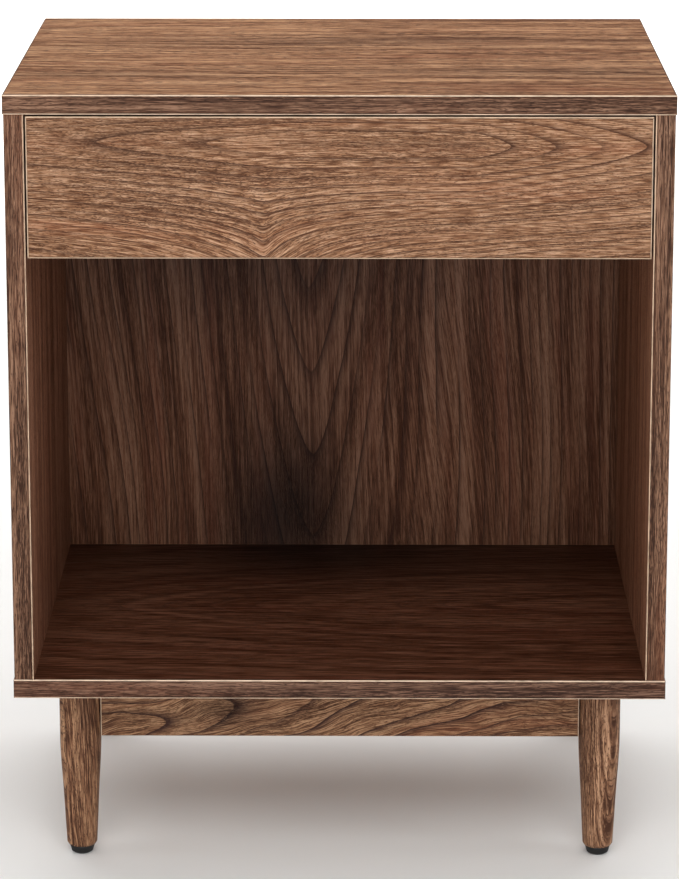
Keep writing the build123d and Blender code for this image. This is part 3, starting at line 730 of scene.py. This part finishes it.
def metalMaterial(name, look):
    made, tree, shader = newMaterial(name)
    axes = placeCoordinates(tree)
    grain, slow, fast = look["brush"]
    scaled = [times(tree, axes[i], slow if i == grain else fast) for i in (0, 1)]
    lines = noise(tree, scaled, roughness=0.6, seed=3.0)
    cells = [times(tree, axes[i], metalWear["patches"]) for i in (1, 2)]
    patches = noise(tree, cells, detail=3.0, roughness=0.6, seed=7.0)
    worn = ramp(tree, patches, *metalWear["patchy"])
    feed(tree, shader.inputs["Base Color"], mixColours(tree, worn, look["colour"], look["worn"]))
    rough = total(tree, look["roughness"] - metalWear["shinier"], times(tree, lines, metalWear["duller"]))
    feed(tree, shader.inputs["Roughness"], rough)
    shader.inputs["Metallic"].default_value = 1.0
    bumped(tree, shader, lines, metalWear["bump"], metalWear["bumpStrength"])
    return made


metalPieces = {
    "zincSheet": ["slide_cabinet_member", "slide_middle_member", "slide_drawer_member"],
    "ballSteel": ["slide_outer_balls", "slide_inner_balls"],
    "cageSteel": ["slide_outer_cage"],
    "castZinc": ["cam_nuts"],
    "screwSteel": ["screws", "bolts", "threaded_inserts"],
}
for name, look in metals.items():
    made = metalMaterial(name, look)
    dress(made, *[part for part in parts if part.endswith(tuple(metalPieces[name]))])
print("metal pieces dressed")

plasticGrain = {"duller": 0.12, "bump": 0.00006, "bumpStrength": 0.6}
plastics = {
    "glidePlastic": {
        "ending": "glide", "colour": rgb(24, 23, 23), "other": rgb(38, 37, 36),
        "roughness": 0.42, "cell": 900.0,  # cells per metre
    },
    "cagePlastic": {
        "ending": "slide_inner_cage", "colour": rgb(214, 212, 204), "other": rgb(192, 190, 182),
        "roughness": 0.5, "cell": 600.0,
    },
}
for name, look in plastics.items():
    made, tree, shader = newMaterial(name)
    axes = placeCoordinates(tree)
    speckle = noise(tree, [times(tree, axes[i], look["cell"]) for i in (0, 2)], roughness=0.6, seed=2.0)
    rough = total(tree, look["roughness"], times(tree, speckle, plasticGrain["duller"]))
    feed(tree, shader.inputs["Base Color"], mixColours(tree, speckle, look["colour"], look["other"]))
    feed(tree, shader.inputs["Roughness"], rough)
    bumped(tree, shader, speckle, plasticGrain["bump"], plasticGrain["bumpStrength"])
    dress(made, *[part for part in parts if part.endswith(look["ending"])])

# dowels: pressed beech
dowelLook = {
    **walnut, "along": 2, "across": 0, "sway": 0.001, "rings": 0.003, "ringStrength": 0.2, "pores": 0.5,
    "dark": rgb(186, 146, 104), "middleTone": rgb(208, 170, 128), "light": rgb(224, 192, 152),
    "red": rgb(204, 156, 118), "ringTone": rgb(170, 128, 88), "poreTone": rgb(150, 108, 72),
    "roughness": 0.6,
}
made, tree, shader = newMaterial("beechDowel")
finishWood(tree, shader, dowelLook, *walnutFigure(tree, dowelLook))
dress(made, *[part for part in parts if part.endswith("dowels")])
print("plastic and dowels dressed")

# stage: a round pale floor that curves up into a wall, soft lights, camera

white = (1.0, 1.0, 1.0, 1.0)
stageLook = {
    "centreRadius": 1.0, "flatRadius": 8.0, "sweepRadius": 2.5, "wallTop": 3.2,
    "sweepSteps": 16, "sides": 96,
    "colour": rgb(236, 235, 233), "mottled": rgb(244, 243, 241), "mottle": 3.0, "roughness": 0.7,
    "glow": 0.6,  # how much the far floor and the wall shine, so that no horizon shows
    "glowFrom": 1.6, "glowFull": 4.2,
    "sky": 0.22,  # soft light from all round
}


def floorMesh():
    flat, sweep, sides = stageLook["flatRadius"], stageLook["sweepRadius"], stageLook["sides"]
    outline = [(stageLook["centreRadius"], 0.0)]
    for i in range(stageLook["sweepSteps"] + 1):
        angle = math.pi / 2 * i / stageLook["sweepSteps"]
        outline.append((flat + sweep * math.sin(angle), sweep * (1 - math.cos(angle))))
    outline.append((flat + sweep, stageLook["wallTop"]))
    turns = [2 * math.pi * i / sides for i in range(sides)]
    corners = [(r * math.cos(turn), r * math.sin(turn), z) for r, z in outline for turn in turns]
    faces = [tuple(range(sides))]
    for row in range(len(outline) - 1):
        inner, outer = row * sides, (row + 1) * sides
        for i in range(sides):
            after = (i + 1) % sides
            faces.append((inner + i, outer + i, outer + after, inner + after))
    mesh = bpy.data.meshes.new("floor")
    mesh.from_pydata(corners, [], faces)
    mesh.shade_smooth()
    return mesh


def makeFloor():
    mesh = floorMesh()
    floor = bpy.data.objects.new("floor", mesh)
    scene.collection.objects.link(floor)
    made, tree, shader = newMaterial("paleFloor")
    axes = placeCoordinates(tree)
    cells = [times(tree, axes[i], stageLook["mottle"]) for i in (0, 1)]
    mottle = noise(tree, cells, detail=3.0, seed=1.0)
    paint = mixColours(tree, mottle, stageLook["colour"], stageLook["mottled"])
    feed(tree, shader.inputs["Base Color"], paint)
    shader.inputs["Roughness"].default_value = stageLook["roughness"]
    away = calc(tree, "SQRT", total(tree, times(tree, axes[0], axes[0]), times(tree, axes[1], axes[1])))
    shader.inputs["Emission Color"].default_value = white
    glow = ramp(tree, away, stageLook["glowFrom"], stageLook["glowFull"], 0.0, stageLook["glow"])
    feed(tree, shader.inputs["Emission Strength"], glow)
    mesh.materials.append(made)
    floor.visible_glossy = False  # so that the top isn't veiled by the white behind it


lamps = {
    # place, aimed at, width, height, power in watts
    "highFront": ((0.0, -2.3, 2.5), (0.0, 0.0, 0.35), 2.2, 1.6, 44.0),
    "lowFront": ((0.0, -3.6, 0.75), (0.0, 0.0, 0.35), 2.6, 1.2, 27.0),
    "leftSide": ((-2.6, -0.6, 1.4), (0.0, 0.0, 0.35), 1.4, 1.8, 11.0),
    "rightSide": ((2.6, -0.6, 1.4), (0.0, 0.0, 0.35), 1.4, 1.8, 13.0),
    "overSweep": ((0.0, 3.4, 3.6), (0.0, 3.4, 0.0), 6.0, 4.0, 260.0),
}


def lightStage():
    for name, (place, target, width, height, watts) in lamps.items():
        lamp = bpy.data.lights.new(name, "AREA")
        lamp.shape, lamp.size, lamp.size_y, lamp.energy = "RECTANGLE", width, height, watts
        holder = bpy.data.objects.new(name, lamp)
        holder.location = place
        holder.rotation_euler = (Vector(target) - Vector(place)).to_track_quat("-Z", "Y").to_euler()
        holder.visible_glossy = name != "overSweep"  # it only whitens the floor
        scene.collection.objects.link(holder)
    scene.world = bpy.data.worlds.new("studio")
    scene.world.use_nodes = True
    sky = scene.world.node_tree.nodes["Background"]
    sky.inputs["Color"].default_value = white
    sky.inputs["Strength"].default_value = stageLook["sky"]
    scene.view_settings.view_transform = "Standard"


cameraPlace = {
    "right": 0.0187,  # of the case's middle
    "ahead": 2.825,  # of the case's front
    "height": 1.088,  # above the floor
    "down": 13.26,  # degrees below level
    "left": 0.377,  # degrees
    "lens": 155.8,  # millimetres
    "shift": -0.1,
}


def makeCamera():
    lens = bpy.data.cameras.new("camera")
    lens.lens, lens.shift_y = cameraPlace["lens"], cameraPlace["shift"]
    camera = bpy.data.objects.new("camera", lens)
    camera.location = (
        caseMiddle.x + cameraPlace["right"],
        caseLow.y - cameraPlace["ahead"],
        caseLow.z + cameraPlace["height"],
    )
    down, left = math.radians(cameraPlace["down"]), math.radians(cameraPlace["left"])
    camera.rotation_euler = (math.pi / 2 - down, 0.0, left)
    scene.collection.objects.link(camera)
    scene.camera = camera


makeFloor()
lightStage()
makeCamera()
print("stage, lights and camera ready")
